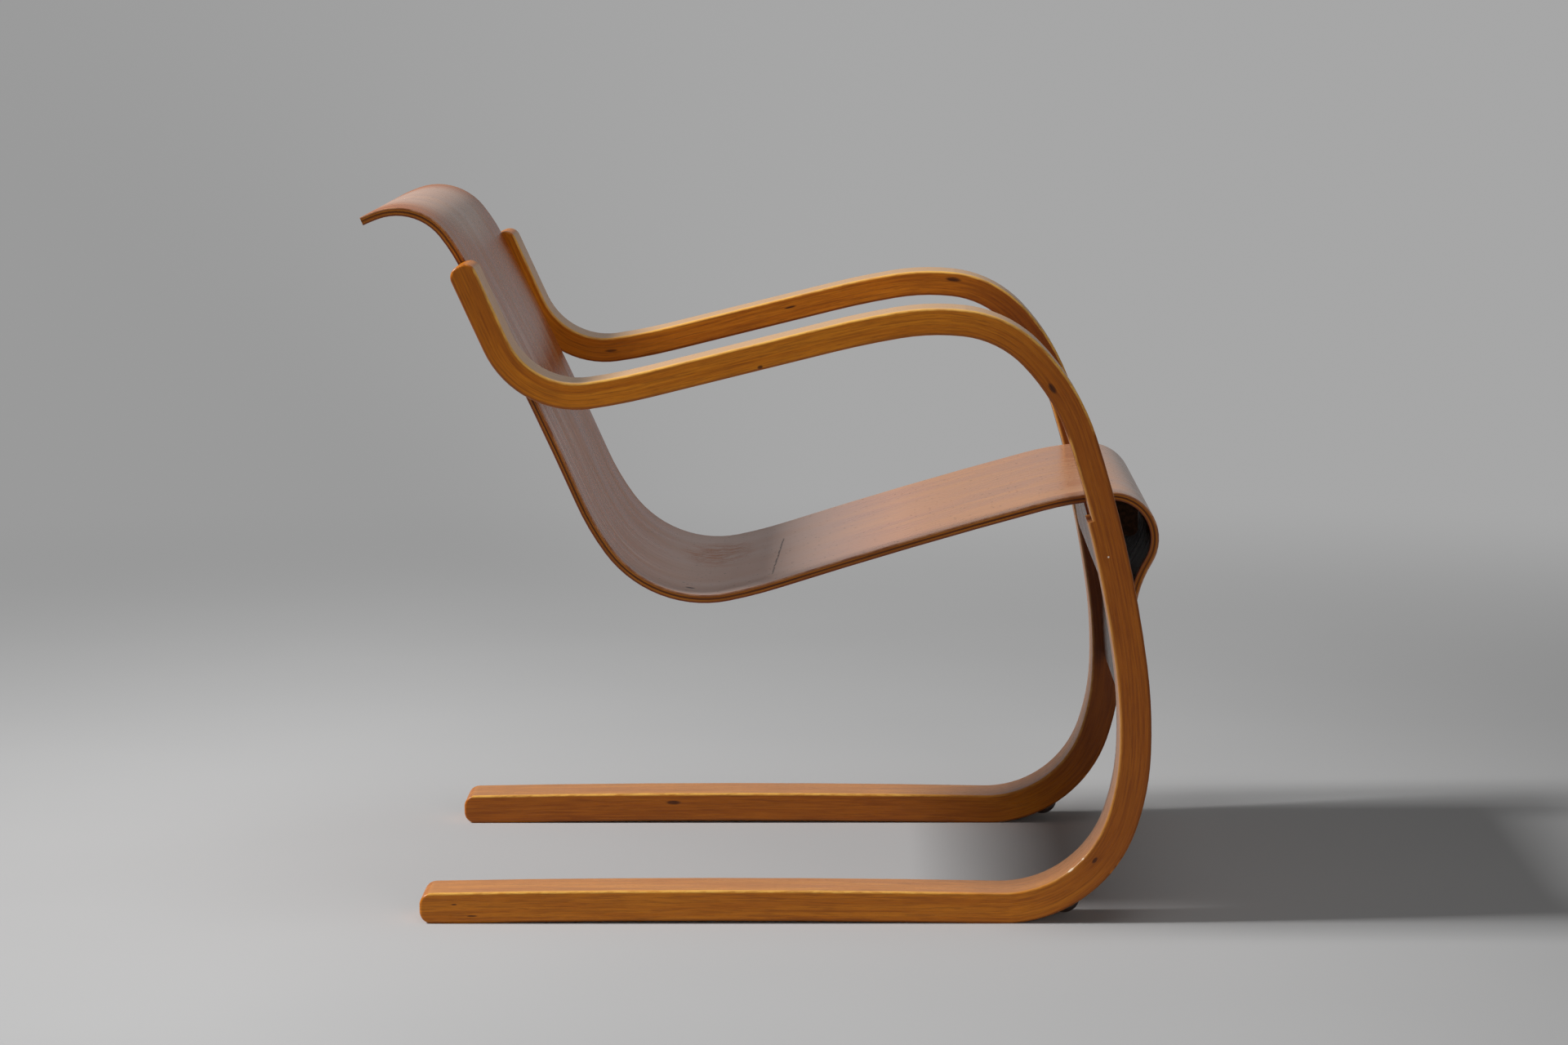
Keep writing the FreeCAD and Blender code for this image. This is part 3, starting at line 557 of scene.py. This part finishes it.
dress(["front_rail_screws", "back_rail_screws", "glide_nails"], steel_finish())


# The glides, thick buttons of dark rubber with a domed end, one nailed under the bend of
# each runner. Their skin holds a little dust.
RUBBER = (0.030, 0.014, 0.009)
DUST = (0.105, 0.070, 0.050)


def rubber_finish():
    f = Finish(bpy.data.materials.new("glide_rubber"))
    place = f.place()
    dust = f.noise(f.stretched(place, 260, 260, 260), detail=4.0)
    skin = f.noise(f.stretched(place, 1800, 1800, 1800), detail=2.0)
    colour = f.mix(f.between(dust, 0.50, 0.75), RUBBER, DUST)
    return f.surface(colour, f.between(dust, 0.3, 0.7, 0.38, 0.6), skin, depth=0.00005)


dress(["right_glide", "left_glide"], rubber_finish())


# The studio floor: plain pale grey, with a painted shade that darkens it a little to both
# sides of the chair. Farther off it fades into a backdrop of an even grey, which is shaded
# towards the left.
FLOOR_GREY = 0.46
FLOOR_RADIUS = 150.0
BACKDROP_GREY = 0.385
MIRRORED_SHARE = 0.75
LEFT_SHADE = (-0.22, 0.02, 0.84, 1.0)
floor_mesh = bpy.data.meshes.new("floor")
sweep = bmesh.new()
bmesh.ops.create_circle(sweep, cap_ends=True, segments=96, radius=FLOOR_RADIUS)
sweep.to_mesh(floor_mesh)
sweep.free()
floor = bpy.data.objects.new("floor", floor_mesh)
bpy.context.scene.collection.objects.link(floor)

paper = Finish(bpy.data.materials.new("studio_floor"))
place = paper.place()
grey = paper.between(paper.noise(place, scale=1.3, detail=2.0), 0.3, 0.7,
                     FLOOR_GREY * 0.985, FLOOR_GREY * 1.015)
beside = paper.number("ABSOLUTE", paper.parts(place)[0])
# Painted shade: the floor is darker to both sides.
grey = paper.product(grey, paper.between(beside, 0.4, 1.3, 1.0, 0.76))
matt = paper.add("BsdfPrincipled", Roughness=0.85,
                 Base_Color=paper.add("CombineColor", Red=grey, Green=grey, Blue=grey).outputs[0])

# The backdrop's glow replaces the lit floor only for the rays that show it. Mirrored in the
# chair, it is dimmer.
rays = paper.add("LightPath").outputs
seen = paper.number("MAXIMUM", rays["Is Camera Ray"], rays["Is Glossy Ray"])
seen = paper.number("MAXIMUM", seen, rays["Is Transmission Ray"])
direction = paper.add("VectorMath", {"operation": "NORMALIZE"}, Vector=place).outputs[0]
shade = paper.product(paper.between(paper.parts(direction)[0], *LEFT_SHADE),
                      paper.between(rays["Is Glossy Ray"], 0.0, 1.0, 1.0, MIRRORED_SHARE))
glow = paper.add("Emission", Strength=shade,
                 Color=(BACKDROP_GREY, BACKDROP_GREY, BACKDROP_GREY, 1.0))
from_chair = paper.add("VectorMath", {"operation": "LENGTH"}, Vector=place).outputs[1]
both = paper.add("MixShader")
far_share = paper.product(paper.between(from_chair, 0.9, 3.4), seen)
for socket, value in zip(both.inputs, (far_share, matt.outputs[0], glow.outputs[0])):
    paper.feed(socket, value)
paper.feed(paper.add("OutputMaterial").inputs[0], both.outputs[0])
floor_mesh.materials.append(paper.owner)


# The world beyond the floor's rim. It shows the backdrop's grey to the camera, to clear things
# and, dimmer, to glossy things. What falls on the chair from it is a little even light.
WORLD_LIGHT = 0.05
world = bpy.data.worlds.new("studio")
bpy.context.scene.world = world
sky = Finish(world)
shade = sky.between(sky.parts(sky.add("TexCoord").outputs["Generated"])[0], *LEFT_SHADE)
rays = sky.add("LightPath").outputs
lit = sky.add("OutputWorld").inputs[0]
for ray, grey in (("Is Camera Ray", BACKDROP_GREY), ("Is Transmission Ray", BACKDROP_GREY),
                  ("Is Glossy Ray", BACKDROP_GREY * MIRRORED_SHARE)):
    backdrop = sky.add("Background", Color=(grey, grey, grey, 1.0), Strength=shade)
    choice = sky.add("MixShader")
    sky.feed(choice.inputs[0], rays[ray])
    sky.feed(choice.inputs[2], backdrop.outputs[0])
    sky.feed(lit, choice.outputs[0])
    lit = choice.inputs[1]
even = sky.add("Background", Color=(WORLD_LIGHT, WORLD_LIGHT, WORLD_LIGHT, 1.0))
sky.feed(lit, even.outputs[0])


# The lamps, all square and soft. The one high on the left lights the chair's upper faces and
# throws its long shadow to the right, and two weak ones fill in from the front and from above.
def soft_lamp(name, place, aim, width, power):
    """Square soft lamp at a place, turned to what it lights."""
    data = bpy.data.lights.new(name, "AREA")
    data.size = width
    data.energy = power
    lamp = bpy.data.objects.new(name, data)
    lamp.location = place
    lamp.rotation_euler = (Vector(aim) - Vector(place)).to_track_quat("-Z", "Y").to_euler()
    bpy.context.scene.collection.objects.link(lamp)
    return lamp


soft_lamp("left_lamp", place=(-3.6, -0.3, 3.6), aim=(0.1, 0.0, 0.25), width=1.05, power=293)
front_lamp = soft_lamp("front_lamp", place=(1.4, -4.2, 1.1), aim=(0.0, 0.0, 0.3), width=1.2,
                       power=32)
front_lamp.visible_glossy = False
soft_lamp("top_lamp", place=(0.7, -0.6, 4.5), aim=(0.0, 0.0, 0.3), width=2.0, power=24)

view = bpy.context.scene.view_settings
view.view_transform = "Standard"
